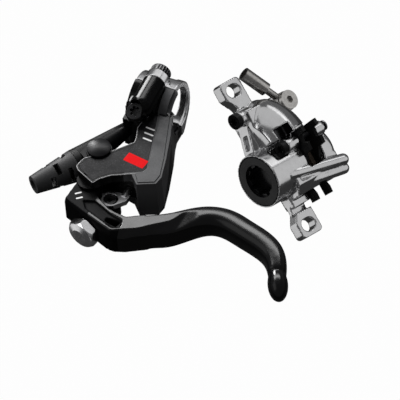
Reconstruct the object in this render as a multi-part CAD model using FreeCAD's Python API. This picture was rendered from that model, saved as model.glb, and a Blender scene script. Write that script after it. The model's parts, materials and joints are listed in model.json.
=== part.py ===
import FreeCAD, Part
import math
import os

# Hydraulic disc brake: a handlebar master unit with its blade, and the caliper it feeds.
# Millimetres. Origin at the centre of the handlebar clamp, +X along the bar, +Y to the rider, +Z up.

V = FreeCAD.Vector
X, Y, Z = V(1, 0, 0), V(0, 1, 0), V(0, 0, 1)

# Handlebar clamp
bar_r = 11.1
clamp_half_w = 10.3
clamp_wall = 3.1
saddle_wall = 3.6
split_gap = 0.35
clamp_screw_z = 16.1
clamp_boss_r = 5.7
clamp_boss_y = -16.0
collar_y, collar_len = -1.0, 4.6
screw_head_r, screw_head_h = 4.9, 4.0
screw_shank_r, screw_end_y = 2.5, -10.2
window_left, window_right = -5.6, 6.8
window_angles = (-66, -22, 20, 52)
hoop_foot_x, hoop_foot_z = 11.6, -18.6

# Master housing
top_z, bottom_z = 7.5, -15.0
cover_t = 1.6
border = 1.1
nose_under_z = 2.3
foot_top_z = -12.75
front_wall_y = -49.3
bore_x, bore_z, bore_r = 8.0, -3.4, 5.0
mouth_y, bore_end_y = -51.5, -22.0
fit = 0.05
bleed_r, bleed_head = 4.5, V(-2.6, -18.8, 13.9)
bleed_dir = V(0.05, -0.45, 0.89)
plug_x, plug_y, plug_r = -11.4, -42.2, 5.8
panel = [(1.5, -18.0), (3.7, -13.8), (5.8, -10.9), (11.9, -33.1), (15.0, -45.4), (14.1, -47.6),
         (10.8, -49.4), (0.2, -54.3), (-4.6, -58.7), (-6.1, -61.4), (-14.8, -56.9), (-16.1, -55.2),
         (-14.8, -50.4), (-6.5, -43.6), (-4.0, -41.6), (3.9, -32.5), (3.5, -29.2), (1.4, -23.0)]
guard = [(6.2, -9.6), (10.4, -6.4), (12.9, -13.6), (20.3, -36.9), (22.9, -47.2), (22.2, -52.0),
         (14.7, -55.3), (11.2, -50.2), (14.5, -48.1), (15.5, -45.4), (12.3, -33.0)]
right_wall = [(-3.0, -8.0), (11.4, -3.0), (13.9, -12.6), (17.2, -22.0), (21.4, -36.6), (24.0, -48.0),
              (23.2, -52.6), (14.6, -56.4), (9.5, -50.9), (3.0, front_wall_y), (-3.4, -42.4),
              (4.6, -32.6), (4.3, -28.6), (2.2, -22.8), (-2.0, -18.6)]
reservoir = [(5.0, -20.5), (7.2, -18.0), (13.0, -42.0), (12.6, -45.0), (9.9, -47.2), (0.4, -47.4),
             (-0.4, -42.6), (6.3, -34.4), (6.6, -28.0)]
reservoir_floor_z = 3.1
guard_t = 1.5
guard_proud = 0.35

# Blade, pivot and reach adjuster
pivot = V(-10.0, -57.2, 0)
pin_r = 2.4
bush_r = 3.4
knuckle_r = 6.4
blade_top, blade_bot = 1.6, -12.6
root_top = 0.8
link_x, link_y = 2.3, -61.8
lug_r, lug_top = 4.9, -5.8
trunnion_r, trunnion_top = 3.1, -2.7
spindle_z, spindle_r = -7.6, 1.5
spindle_dir = V(-0.262, -0.965, 0)
knob_r, knob_t = 8.2, 5.6
knob_back = 18.4

# Push rod and master piston
swing_x = 0.84
rod_r = 2.0
eye_bot, eye_top = -4.9, -2.0
eye_r = 4.5
eye_back_y = -56.4
piston_back_y, piston_front_y = -47.0, -33.0

# Hose outlet and its boot
boot_base = V(-22.2, -48.9, -2.0)
boot_dir = V(-0.60, -0.80, 0)
boot_len, boot_r0, boot_r1 = 22.4, 8.0, 4.6
hose_r = 2.55

# Caliper, drawn in its own frame: x along the ears, y across the rotor inboard, z away from the hub
cal_origin = V(44.2, 27.6, -50.4)
cal_x = V(0.6794, -0.4158, -0.6044)
cal_y = V(0.3116, 0.9094, -0.2753)
ear_span = 74.0
ear_t = 6.0
ear_hole_r, ear_slot = 3.15, 2.4
rotor_y = 15.2
rotor_r = 80.0
rotor_edge_z = 6.0
pad_gap = 1.45
cyl_x, cyl_z, cyl_wall_r = 7.4, -2.0, 13.6
cyl_bore_r = 11.0
cap_face_y = -13.0
inner_end_y = 30.6
slot_half = 6.0
pad_plate_t, pad_lining_t = 2.0, 2.2
pad_pin_x, pad_pin_z, pad_pin_r = -1.0, 10.0, 1.5
banjo_x, banjo_y, banjo_z = -20.0, 23.3, 0.6


def cyl(r, h, base, axis=Z):
    return Part.makeCylinder(r, h, base, axis)


def cone(r0, r1, h, base, axis=Z):
    return Part.makeCone(r0, r1, h, base, axis)


def box(x0, y0, z0, x1, y1, z1):
    return Part.makeBox(x1 - x0, y1 - y0, z1 - z0, V(x0, y0, z0))


def tube(r0, r1, h, base, axis=Z):
    return cyl(r1, h, base, axis).cut(cyl(r0, h, base, axis))


def prism(points, z0, z1):
    ring = [V(px, py, z0) for px, py in points]
    face = Part.Face(Part.makePolygon(ring + ring[:1]))
    return face.extrude(V(0, 0, z1 - z0))


def grown(points, by, z0, z1):
    ring = [V(px, py, z0) for px, py in points]
    face = Part.Face(Part.makePolygon(ring + ring[:1])).makeOffset2D(by, 2)
    return face.extrude(V(0, 0, z1 - z0))


def side_prism(points, y0, y1):
    # points are (x, z), swept along +Y
    ring = [V(px, y0, pz) for px, pz in points]
    face = Part.Face(Part.makePolygon(ring + ring[:1]))
    return face.extrude(V(0, y1 - y0, 0))


def capsule(r, a, b):
    body = cyl(r, (b - a).Length, a, b - a)
    return body.fuse([Part.makeSphere(r, a), Part.makeSphere(r, b)])


def slot_solid(r, half, z0, z1, centre, turn=0.0):
    bar = box(-half, -r, z0, half, r, z1)
    ends = [cyl(r, z1 - z0, V(s * half, 0, z0)) for s in (-1, 1)]
    shape = bar.fuse(ends)
    shape.Placement = FreeCAD.Placement(centre, FreeCAD.Rotation(Z, turn))
    return shape


def star(r_in, r_out, count, h, base, axis=Z):
    # a lobed socket: round core with small lobes round it
    up = FreeCAD.Rotation(Z, axis)
    shape = cyl(r_in, h, V(0, 0, 0))
    lobe_r = (r_out - r_in) * 0.75
    for i in range(count):
        a = 2 * math.pi * i / count
        shape = shape.fuse(cyl(lobe_r, h, V(math.cos(a), math.sin(a), 0) * (r_out - lobe_r)))
    shape = shape.removeSplitter()
    shape.Placement = FreeCAD.Placement(base, up)
    return shape


def hexagon(r, h, base, axis=Z, spin=0.0):
    ring = [V(r * math.cos(math.pi * i / 3 + spin), r * math.sin(math.pi * i / 3 + spin), 0)
            for i in range(7)]
    shape = Part.Face(Part.makePolygon(ring)).extrude(V(0, 0, h))
    shape.Placement = FreeCAD.Placement(base, FreeCAD.Rotation(Z, axis))
    return shape


def revolved(profile, base, axis):
    # profile is (radius, height) turned about the axis
    ring = [V(r, 0, h) for r, h in profile]
    shape = Part.Face(Part.makePolygon(ring + ring[:1])).revolve(V(0, 0, 0), Z, 360)
    shape.Placement = FreeCAD.Placement(base, FreeCAD.Rotation(Z, axis))
    return shape


def fillet(shape, r, wanted):
    edges = [e for e in shape.Edges if wanted(e)]
    return shape.makeFillet(r, edges) if edges else shape


def level(edge, z):
    box_ = edge.BoundBox
    return abs(box_.ZMin - z) < 1e-4 and abs(box_.ZMax - z) < 1e-4


def one(shape):
    solids = sorted(shape.Solids, key=lambda s: -s.Volume)
    return solids[0]


nodes = {}

# Master housing: saddle, screw bosses, cylinder arm, hose arm and pivot lugs in one moulding
saddle = tube(bar_r, bar_r + saddle_wall, 2 * clamp_half_w, V(-clamp_half_w, 0, 0), X)
saddle = saddle.common(box(-20, -20, -20, 20, -split_gap, 20))
bosses = []
for s in (-1, 1):
    bosses.append(cyl(clamp_boss_r, collar_y - split_gap - clamp_boss_y,
                      V(0, clamp_boss_y, s * clamp_screw_z), Y))
    bosses.append(Part.makeSphere(clamp_boss_r, V(0, clamp_boss_y, s * clamp_screw_z)))
    lo, hi = sorted((s * 6.0, s * clamp_screw_z))
    bosses.append(box(-clamp_boss_r + 0.4, clamp_boss_y + 1.2, lo, clamp_boss_r - 0.4, -split_gap, hi))
cheek = Part.Face(Part.makePolygon([V(4.0, y, z) for y, z in (
    (-15.0, 2.0), (-12.3, top_z), (-split_gap, 14.1), (-split_gap, -14.1), (-11.0, -14.1), (-15.0, 2.0))]))
bosses.append(cheek.extrude(V(7.8, 0, 0)))
corner = Part.Face(Part.makePolygon([V(4.0, y, z) for y, z in (
    (-split_gap, -10.0), (-split_gap, -17.2), (-6.0, -17.2), (-12.0, -14.6), (-9.0, -8.0),
    (-split_gap, -10.0))]))
bosses.append(corner.extrude(V(7.8, 0, 0)))
bosses.append(capsule(2.6, V(2.6 - clamp_half_w, -12.0, 9.4), V(2.6 - clamp_half_w, -3.2, 9.4)))
bosses.append(box(0.2 - clamp_half_w, -14.0, 0, 5.0 - clamp_half_w, -3.2, 9.2))
neck = prism([(-9.6, -9.0), (11.2, -6.0), (12.6, -14.0), (2.6, -20.0), (-9.6, -19.0)],
             bottom_z + 3, top_z - 1.5)
arm = prism(right_wall, bottom_z, top_z)
roof = grown(panel, border, nose_under_z, top_z)
pin_lug = cyl(knuckle_r - 0.3, nose_under_z - root_top - 0.1, V(pivot.x, pivot.y, root_top + 0.12))
foot = grown(panel, border, bottom_z, foot_top_z).common(box(-30, -80, -20, 4, -41, 20))
backbone = prism([(-19.5, -46.5), (-15.0, -49.6), (-3.0, front_wall_y), (6.0, front_wall_y),
                  (2.0, -44.0), (-3.5, -41.0), (-9.0, -36.4), (-16.6, -37.6)], bottom_z, top_z - 1.2)
hose_arm = cone(3.4, boot_r0 - 0.5, 33.0, V(-6.9, -17.4, -1.0), V(-12.6, -25.2, -0.8))
hose_tip = cyl(boot_r0 - 0.1, 3.2, boot_base - boot_dir * 3.4, boot_dir)
bleed_dir.normalize()
bleed_boss = cyl(bleed_r + 0.5, 12.4, bleed_head - bleed_dir * 14.0, bleed_dir)
bleed_foot = cyl(bleed_r, 15.4, V(-4.6, -15.6, bottom_z + 6))
plug_boss = cyl(plug_r + 0.5, top_z - bottom_z - 4.3, V(plug_x, plug_y, bottom_z + 4))
mouth = cyl(bore_r + 2.2, 8.0, V(bore_x, mouth_y, bore_z), Y)
housing = saddle.fuse(bosses + [neck, arm, roof, foot, pin_lug, backbone, hose_arm, hose_tip,
                                bleed_boss, bleed_foot, plug_boss, mouth]).removeSplitter()

cuts = [cyl(bar_r, 60, V(-30, 0, 0), X), cyl(bar_r + 0.8, 20, V(clamp_half_w, 0, 0), X)]
cuts.append(prism(panel, top_z - cover_t, top_z + 1))
cuts.append(prism(guard, top_z - guard_t + guard_proud, top_z + 1))
cuts.append(prism(reservoir, reservoir_floor_z, top_z))
cuts.append(prism([(15.4, -28.0), (17.2, -28.0), (20.0, -41.0), (20.6, -47.4), (15.4, -47.4)],
                  bottom_z + 3, top_z - cover_t - 1.6))
cuts.append(cyl(bore_r, bore_end_y - mouth_y + 1, V(bore_x, mouth_y - 1, bore_z), Y))
cuts.append(cyl(bore_r + 0.7, 5.4, V(bore_x, mouth_y - 3.1, bore_z), Y))
cuts.append(cyl(bore_r + 0.7, 1.0, V(bore_x, mouth_y + 3.2, bore_z), Y))
for port_y in (-31.0, -36.8):
    cuts.append(cyl(0.5, 6, V(bore_x, port_y, bore_z + 3)))
for s in (-1, 1):
    cuts.append(cyl(screw_shank_r, 12, V(0, screw_end_y - 0.3, s * clamp_screw_z), Y))
    cuts.append(cyl(clamp_boss_r + 0.1, 6, V(0, collar_y - split_gap, s * clamp_screw_z), Y))
cuts.append(cyl(2.5, 14, bleed_head, bleed_dir * -1))
cuts.append(cyl(bleed_r + 0.1, 14.0, bleed_head - bleed_dir * 1.6, bleed_dir))
cuts.append(cyl(plug_r + 0.05, 2.0, V(plug_x, plug_y, top_z - 0.3)))
cuts.append(cone(boot_r0 + 0.3, boot_r1 + 0.3, boot_len, boot_base, boot_dir))
cuts.append(cyl(plug_r - 1.6, 6.0, V(plug_x, plug_y, top_z - 6.0)))
cuts.append(cyl(pin_r, 30, V(pivot.x, pivot.y, -20)))
cuts.append(cyl(bush_r + 1.4, 2.2, V(pivot.x, pivot.y, bottom_z - 0.01)))
cuts.append(cyl(1.7, 7, V(-5.9, front_wall_y - 1, -7.6), Y))
cuts.append(cyl(3.0, 16, boot_base, boot_dir * -1))
cuts.append(cyl(1.2, 30, boot_base, boot_dir * -1))
cuts.append(cyl(1.2, 24, V(-7.6, -43.0, -8.0), V(0.72, 0.5, 0.2)))
housing = housing.cut(cuts)
nodes["master_housing"] = one(housing)

# Reservoir cover, its trim guard and the diaphragm under it
cover = grown(panel, -0.12, top_z - cover_t, top_z)
cover = cover.cut(cyl(plug_r + 0.5, 10, V(plug_x, plug_y, 0)))
nodes["reservoir_cover"] = one(cover)
trim = grown(guard, -0.1, top_z - guard_t + guard_proud, top_z + guard_proud)
trim = trim.cut(cyl(bar_r + clamp_wall - 0.4, 60, V(-30, 0, 0), X))
nodes["corner_guard"] = one(trim)
skin = grown(reservoir, -0.15, top_z - cover_t - 0.9, top_z - cover_t)
skin = skin.cut(grown(reservoir, -1.4, top_z - cover_t - 0.5, top_z - cover_t + 1))
nodes["diaphragm"] = one(skin)

# Hinged half of the clamp: two slim bands, a foot across their lower ends and a collar at each screw
hoop = tube(bar_r, bar_r + clamp_wall, 2 * clamp_half_w, V(-clamp_half_w, 0, 0), X)
hoop = hoop.common(box(-20, split_gap, -20, 20, 20, 20))
foot_ring = [V(-clamp_half_w, y, z) for y, z in (
    (split_gap, 0.65 * hoop_foot_z), (split_gap, hoop_foot_z), (2.4, hoop_foot_z), (4.2, hoop_foot_z + 1.6),
    (12.04, -7.5), (8.4, -5.6))]
hoop_foot = Part.Face(Part.makePolygon(foot_ring + foot_ring[:1]))
hoop_foot = hoop_foot.extrude(V(clamp_half_w + hoop_foot_x, 0, 0))
slant = [(-clamp_half_w, -30), (hoop_foot_x, -30), (hoop_foot_x, 0.6 * hoop_foot_z), (clamp_half_w, 2.0),
         (clamp_half_w, 30), (-clamp_half_w, 30)]
band = tube(bar_r, bar_r + clamp_wall, clamp_half_w + hoop_foot_x, V(-clamp_half_w, 0, 0), X)
hoop = hoop.fuse([band.common(box(-20, split_gap, -20, 20, 20, 5)), hoop_foot])
hoop = hoop.common(side_prism(slant, split_gap, 20)).cut(cyl(bar_r + 0.8, 20, V(clamp_half_w, 0, 0), X))
reach = 2.6 * bar_r
wedge = [V(window_left, 0, 0)]
for a in window_angles:
    wedge.append(V(window_left, reach * math.cos(math.radians(a)), reach * math.sin(math.radians(a))))
window = Part.Face(Part.makePolygon(wedge + wedge[:1])).extrude(V(window_right - window_left, 0, 0))
hoop = hoop.cut(window)
lugs = []
for s in (-1, 1):
    lugs.append(cyl(clamp_boss_r - 0.2, collar_len, V(0, collar_y + split_gap, s * clamp_screw_z), Y))
    lo, hi = sorted((s * (bar_r + 0.4), s * clamp_screw_z))
    lugs.append(box(-5.0, split_gap, lo, 5.0, collar_y + split_gap + collar_len - 0.5, hi))
seat_y = collar_y + split_gap + collar_len
hoop = hoop.fuse(lugs).cut([cyl(bar_r, 60, V(-30, 0, 0), X)])
for s in (-1, 1):
    hoop = hoop.cut([cyl(screw_shank_r + 0.2, 12, V(0, -2, s * clamp_screw_z), Y),
                     cyl(screw_head_r + 0.2, 12, V(0, seat_y, s * clamp_screw_z), Y)])
nodes["clamp_hoop"] = one(hoop.removeSplitter())
screws = []
for s in (-1, 1):
    screw = cyl(screw_head_r, screw_head_h, V(0, seat_y, s * clamp_screw_z), Y)
    screw = fillet(screw, 0.5, lambda e: e.BoundBox.YMin > seat_y + screw_head_h - 0.01)
    screw = screw.fuse(cyl(screw_shank_r, seat_y - screw_end_y, V(0, screw_end_y, s * clamp_screw_z), Y))
    screws.append(screw.cut(star(1.5, 2.3, 6, 2.2, V(0, seat_y + screw_head_h - 2.1, s * clamp_screw_z), Y)))
nodes["clamp_screws"] = Part.makeCompound(screws)

# Bleed screw, port plug and the small guide screw under the cover
bleed = cyl(bleed_r - 0.2, 1.6, V(0, 0, -1.6))
bleed = fillet(bleed, 0.5, lambda e: level(e, 0))
bleed = bleed.fuse(cyl(2.5, 9, V(0, 0, -10))).cut(star(1.7, 2.6, 6, 3, V(0, 0, -2.4)))
bleed.Placement = FreeCAD.Placement(bleed_head, FreeCAD.Rotation(Z, bleed_dir))
nodes["bleed_screw"] = bleed
button = Part.makeSphere(13.0, V(plug_x, plug_y, top_z + 2.7 - 13.0))
button = button.common(cyl(plug_r, 3.6, V(plug_x, plug_y, top_z - 0.3)))
button = button.fuse(cyl(plug_r - 1.65, 5.4, V(plug_x, plug_y, top_z - 5.5)))
nodes["port_plug"] = one(button)
grub = cyl(1.65, 5, V(-5.9, front_wall_y + 0.2, -7.6), Y)
nodes["guide_screw"] = grub.cut(hexagon(0.9, 1.8, V(-5.9, front_wall_y + 0.1, -7.6), Y))

# Hose outlet: rubber boot with relief slots over the sleeve nut, olive and barb
boot = cone(boot_r0, boot_r1, boot_len, boot_base, boot_dir)
boot = boot.cut(cone(boot_r0 - 1.9, boot_r1 - 1.4, boot_len * 0.72, boot_base, boot_dir))
boot = boot.cut(cyl(hose_r + fit, boot_len + 2, boot_base - boot_dir, boot_dir))
facing = V(0.313, -0.581, 0.751)
facing = (facing - boot_dir * facing.dot(boot_dir)).normalize()
side_up = facing.cross(boot_dir)
for along, first, width, half in ((4.2, 32, 2.4, 3.9), (9.7, -18, 2.5, 3.0), (13.6, 32, 2.6, 2.3)):
    for third in range(3):
        angle = math.radians(first + 120 * third)
        out = (facing * math.cos(angle) + side_up * math.sin(angle)).normalize()
        gap = box(-width / 2, -half, 0, width / 2, half, 20)
        gap.Placement = FreeCAD.Placement(boot_base + boot_dir * along,
                                          FreeCAD.Rotation(boot_dir, out.cross(boot_dir), out, "XYZ"))
        boot = boot.cut(gap)
nodes["hose_boot"] = one(boot)
nut = hexagon(4.2, 4.0, boot_base + boot_dir * 0.3, boot_dir)
nut = nut.fuse(cyl(2.95, 7.3, boot_base - boot_dir * 7.0, boot_dir))
nodes["sleeve_nut"] = nut.cut(cyl(hose_r, 14, boot_base - boot_dir * 8.0, boot_dir))
nodes["olive"] = tube(hose_r - 0.5, 2.9, 2.6, boot_base - boot_dir * 10.2, boot_dir)
barb = tube(0.7, 1.35, 9.0, boot_base - boot_dir * 9.8, boot_dir)
nodes["hose_barb"] = barb.fuse(tube(0.7, 2.9, 1.2, boot_base - boot_dir * 11.6, boot_dir)).fuse(
    tube(0.7, 1.35, 2.2, boot_base - boot_dir * 11.0, boot_dir)).removeSplitter()

# Blade: root with its pocketed deck, swept finger part and a leaf-shaped tip
stations = [  # x, y, z, heading, half depth, half height, corner radius
    (24.6, -72.6, -5.9, 27, 5.5, 6.7, 0.4), (33.5, -68.2, -5.8, 30, 5.6, 6.8, 1.2),
    (42.2, -61.6, -5.6, 34, 5.9, 7.0, 3.3), (51.2, -55.4, -5.5, 22, 6.0, 7.1, 4.9),
    (60.4, -54.1, -5.5, -3, 6.3, 7.1, 5.3), (70.6, -56.8, -5.5, -16, 6.3, 7.1, 5.3),
    (81.2, -60.3, -5.5, -21, 6.2, 7.0, 5.2), (88.0, -64.1, -5.5, -34, 5.8, 6.8, 5.0),
    (92.7, -69.4, -5.6, -53, 5.1, 6.4, 4.5), (95.4, -74.8, -5.9, -64, 4.4, 6.0, 3.9)]


def rounded_section(cx, cy, cz, heading, a, b, r):
    # rounded rectangle across the path: a along its normal, b up
    pts = []
    for sx, sz, start in ((1, 1, 0), (-1, 1, 90), (-1, -1, 180), (1, -1, 270)):
        arc = [math.radians(start + 45 * i) for i in range(3)]
        pts.append([V(0, sx * (a - r) + r * math.cos(t), sz * (b - r) + r * math.sin(t)) for t in arc])
    edges = []
    for i in range(4):
        edges.append(Part.Arc(*pts[i]).toShape())
        edges.append(Part.makeLine(pts[i][2], pts[(i + 1) % 4][0]))
    wire = Part.Wire(edges)
    wire.Placement = FreeCAD.Placement(V(cx, cy, cz), FreeCAD.Rotation(Z, heading))
    return wire


finger = Part.makeLoft([rounded_section(*st) for st in stations], True, False)
root_pts = [(-17.0, -72.0), (-15.8, -60.5), (-13.0, -56.0), (-4.6, -56.6), (-2.6, -64.6), (5.6, -69.6),
            (15.2, -71.4), (23.4, -66.9), (28.6, -76.8), (18.7, -82.3), (13.2, -84.0), (9.4, -83.4)]
root = prism(root_pts, blade_bot, root_top)
# the front slope: above each pair of triangles between the crease and its foot, the blade is cut away
crease = [(-20.0, -69.5, 0.8), (-5.7, -75.4, 0.8), (11.8, -82.0, 0.8), (22.4, -76.9, 0.8),
          (36.4, -67.0, 0.95), (41.7, -58.2, 1.4), (47.0, -53.0, 2.2)]
slope_foot = [(-19.5, -73.0, -3.4), (-5.2, -78.9, -3.4), (12.0, -85.7, -3.4), (24.6, -80.9, -2.8),
              (39.8, -72.4, -1.7), (47.2, -67.7, -0.2), (54.0, -64.0, 1.9)]
slope_cuts = []
for i in range(len(crease) - 1):
    a, b, c, d = V(*crease[i]), V(*crease[i + 1]), V(*slope_foot[i]), V(*slope_foot[i + 1])
    for ring in ([a, b, c, a], [b, d, c, b]):
        slope_cuts.append(Part.Face(Part.makePolygon(ring)).extrude(V(0, 0, 8)))
knuckle = cyl(knuckle_r, root_top - blade_bot, V(pivot.x, pivot.y, blade_bot))
lug = cyl(lug_r, lug_top - blade_bot, V(link_x, link_y, blade_bot))
web = prism([(-3.4, -70.0), (-2.4, -61.0), (7.0, -61.0), (8.2, -71.5)], blade_bot, lug_top)
tip_axis = V(0.46, -0.888, 0)
tip = Part.makeSphere(1.0, V(0, 0, 0))
stretch = FreeCAD.Matrix()
stretch.scale(V(9.7, 5.0, 6.6))
tip = tip.transformGeometry(stretch)
tip.Placement = FreeCAD.Placement(V(97.9, -79.6, -6.6),
                                  FreeCAD.Rotation(tip_axis, Z.cross(tip_axis), Z, "XYZ"))
blade = finger.fuse([root, knuckle, lug, web, tip]).removeSplitter()
deck = prism([(-8.2, -69.3), (-2.6, -67.6), (7.4, -72.2), (14.6, -74.0), (15.4, -78.6), (11.6, -80.2),
              (-5.0, -73.6)], root_top - 1.1, root_top + 1)
pocket = prism([(6.3, -74.6), (14.0, -74.9), (13.0, -78.3), (6.5, -76.9)], root_top - 7.0, root_top + 1)
blade_cuts = slope_cuts + [deck, pocket, cyl(bush_r, 30, V(pivot.x, pivot.y, -20)),
              cyl(bush_r + 1.3, 0.7, V(pivot.x, pivot.y, root_top - 0.65)),
              cyl(bush_r + 1.3, 0.7, V(pivot.x, pivot.y, blade_bot - 0.05)),
              cyl(trunnion_r + fit, 20, V(link_x, link_y, -20))]
hub = V(link_x, link_y, spindle_z)
blade_cuts.append(cyl(spindle_r + 0.35, 30, hub, spindle_dir))
nodes["lever_blade"] = one(blade.cut(blade_cuts).removeSplitter())

bushes = []
for z0, flange_z in ((root_top - 6.0, root_top - 0.6), (blade_bot, blade_bot)):
    bush = tube(pin_r + fit, bush_r, 6.0, V(pivot.x, pivot.y, z0))
    bush = bush.fuse(tube(pin_r + fit, bush_r + 1.2, 0.6, V(pivot.x, pivot.y, flange_z)))
    bushes.append(bush.removeSplitter())
nodes["pivot_bushes"] = Part.makeCompound(bushes)
pin_top = top_z - cover_t - 0.4
pin = cyl(pin_r, pin_top - bottom_z - 1.8, V(pivot.x, pivot.y, bottom_z + 1.8))
pin = pin.fuse(cyl(bush_r + 1.1, 1.5, V(pivot.x, pivot.y, bottom_z + 0.4)))
nodes["pivot_pin"] = pin.cut(hexagon(1.5, 1.6, V(pivot.x, pivot.y, bottom_z + 0.3)))

# Reach adjuster: domed hexagonal knob, threaded spindle and the trunnion it pulls on
knob = hexagon(knob_r, knob_t, hub + spindle_dir * knob_back, spindle_dir, 0.26)
round_off = revolved([(0, -1), (knob_r - 0.9, -1), (knob_r - 0.2, 1.0), (knob_r - 0.2, knob_t - 2.2),
                      (knob_r - 1.3, knob_t - 1.0), (4.0, knob_t), (0, knob_t + 0.1)],
                     hub + spindle_dir * knob_back, spindle_dir)
knob = knob.common(round_off)
nodes["adjuster_knob"] = one(knob.cut(cyl(spindle_r, 3.5, hub + spindle_dir * (knob_back - 0.1), spindle_dir)))
nodes["adjuster_spindle"] = cyl(spindle_r, knob_back + 3.4 + 2.2, hub - spindle_dir * 2.2, spindle_dir)
trunnion = cyl(trunnion_r, trunnion_top - blade_bot - 0.4, V(link_x, link_y, blade_bot + 0.4))
trunnion = trunnion.cut([cyl(spindle_r + fit, 12, hub - spindle_dir * 6, spindle_dir),
                         hexagon(1.4, 2, V(link_x, link_y, trunnion_top - 1.6))])
nodes["trunnion"] = trunnion

# Push rod with its eye, seals, piston and spring in the master cylinder
eye_x = link_x + swing_x / 2
arm_pts = [(eye_x - 5.6, link_y + 1.6), (eye_x - 2.4, link_y + 4.2), (bore_x - 2.6, eye_back_y),
           (bore_x + 2.6, eye_back_y), (bore_x + 2.2, eye_back_y - 4.0), (eye_x + 2.8, link_y - 3.5),
           (eye_x - 1.0, link_y - 4.38)]
eye = cyl(eye_r, eye_top - eye_bot, V(eye_x, link_y, eye_bot)).fuse(prism(arm_pts, eye_bot, eye_top))
eye = eye.fuse(cyl(rod_r, piston_back_y + 3.0 - eye_back_y + 2.0, V(bore_x, eye_back_y - 2.0, bore_z), Y))
eye = eye.cut(slot_solid(trunnion_r + 0.12, swing_x / 2 + 0.12, -10, 5, V(eye_x, link_y, 0)))
nodes["push_rod"] = one(eye.removeSplitter())

piston = cyl(bore_r - fit, piston_front_y - piston_back_y, V(bore_x, piston_back_y, bore_z), Y)
grooves = [tube(3.4, 6, 1.8, V(bore_x, y, bore_z), Y) for y in (piston_back_y + 2.0, piston_front_y - 3.4)]
grooves.append(tube(2.6, 6, 3.6, V(bore_x, piston_back_y + 5.2, bore_z), Y))
grooves.append(cyl(rod_r, 3.0, V(bore_x, piston_back_y, bore_z), Y))
nodes["master_piston"] = one(piston.cut(grooves))
for name, y in (("secondary_seal", piston_back_y + 2.0), ("primary_seal", piston_front_y - 3.4)):
    nodes[name] = tube(3.4, bore_r, 1.8, V(bore_x, y, bore_z), Y)
coils, wire_r = 5.0, 0.4
spring_len = bore_end_y - piston_front_y - 2 * wire_r - 0.1
helix = Part.makeHelix(spring_len / coils, spring_len, 3.7)
profile = Part.Wire(Part.makeCircle(wire_r, V(3.7, 0, 0), Y))
spring = Part.Wire(helix.Edges).makePipeShell([profile], True, True)
spring.Placement = FreeCAD.Placement(V(bore_x, piston_front_y + wire_r + 0.05, bore_z), FreeCAD.Rotation(Z, Y))
nodes["return_spring"] = spring
clip = tube(bore_r - 1.4, bore_r + 0.6, 0.9, V(bore_x, mouth_y + 3.25, bore_z), Y)
nodes["circlip"] = clip.cut(box(bore_x - 1.2, mouth_y, bore_z - 9, bore_x + 1.2, mouth_y + 9, bore_z - 3))
wiper = revolved([(rod_r + fit, 0.0), (3.2, -0.6), (4.4, -0.2), (5.0, -0.9), (bore_r + 0.6, -0.4),
                  (bore_r + 0.6, 2.0), (rod_r + 1.0, 2.0), (rod_r + fit, 1.0)],
                 V(bore_x, mouth_y + 0.2, bore_z), Y)
nodes["dust_wiper"] = wiper

# Caliper
cal = {}
pad_top, pad_low = 8.6, -17.4


def across(r, y0, y1, x, z):
    return cyl(r, y1 - y0, V(x, y0, z), Y)


dome = Part.makeSphere(1.0, V(0, 0, 0))
swell = FreeCAD.Matrix()
swell.scale(V(26.0, 16.0, 18.0))
dome = dome.transformGeometry(swell)
dome.translate(V(-2.0, 8.0, -2.0))
dome = dome.common(box(-40, -4.2, -9.0, -5.4, 40, 40))
body = [dome, across(cyl_wall_r, cap_face_y, 10.0, cyl_x, cyl_z)]
inboard = across(cyl_wall_r - 0.4, 20.0, inner_end_y, cyl_x, cyl_z)
inboard = inboard.makeFillet(4.5, [e for e in inboard.Edges if e.BoundBox.YMin > inner_end_y - 0.01])
body.append(inboard)
body.append(box(-16.0, -2.0, -9.0, 4.0, 25.5, -1.0))
flank = prism([(-20.0, -4.0), (-7.2, -8.6), (-4.0, -8.6), (-4.0, 0.0), (-20.0, 0.0)], -7.0, 1.0)
body.append(flank.cut(prism([(-15.6, -9.0), (-8.0, -9.0), (-8.0, -3.6), (-14.0, -3.6)], -4.4, -1.4)))
body.append(side_prism([(-25.0, -7.0), (-26.5, 0.0), (-25.0, 6.0), (-20.0, 5.5), (-9.0, 2.2), (-4.0, 2.2),
                        (-4.0, -9.0), (-20.0, -9.0)], -4.2, 8.0))
body.append(capsule(2.9, V(11.6, -3.0, 8.4), V(18.0, 29.5, 11.0)))
body.append(capsule(2.9, V(17.0, -2.0, 3.8), V(21.9, 29.5, 8.0)))
bridge = side_prism([(8.0, -9.0), (22.4, -9.0), (23.8, -2.0), (23.2, 5.0), (18.6, 9.2), (13.0, 10.0),
                     (8.0, 6.0)], -1.0, 29.0)
body.append(bridge)
for s in (-1, 1):
    end = s * (ear_span / 2 + 5.5)
    root_x = -20.0 if s < 0 else 14.0
    waist_x = s * (ear_span / 2 - 8.0)
    ear = prism([(end, -7.0), (s * (ear_span / 2 - 2.5), -7.0), (waist_x, -3.2), (root_x, -1.0),
                 (root_x, 6.8), (end, 6.8)], -ear_t, 0)
    if s > 0:
        ear = ear.cut(box(20.0, -8.0, -3.6, 30.0, 8.0, 1.0))
    ear = ear.makeFillet(2.2, [e for e in ear.Edges if abs(e.BoundBox.XMin - end) < 1e-4
                               and e.BoundBox.ZLength > 1])
    body.append(ear)
    neck_x = s * (ear_span / 2 - 10.0)
    body.append(prism([(root_x, -3.0), (neck_x, -2.4), (neck_x, 9.5), (root_x, 16.0)], -ear_t - 1.5, -0.4))
body.append(across(3.9, 1.8, 9.6, pad_pin_x, pad_pin_z))
body.append(box(pad_pin_x - 3.9, 1.8, 2.0, pad_pin_x + 3.9, 9.6, pad_pin_z))
body.append(across(3.7, 20.8, 27.6, pad_pin_x, pad_pin_z))
body.append(box(pad_pin_x - 3.7, 20.8, 2.0, pad_pin_x + 3.7, 27.6, pad_pin_z))
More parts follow.
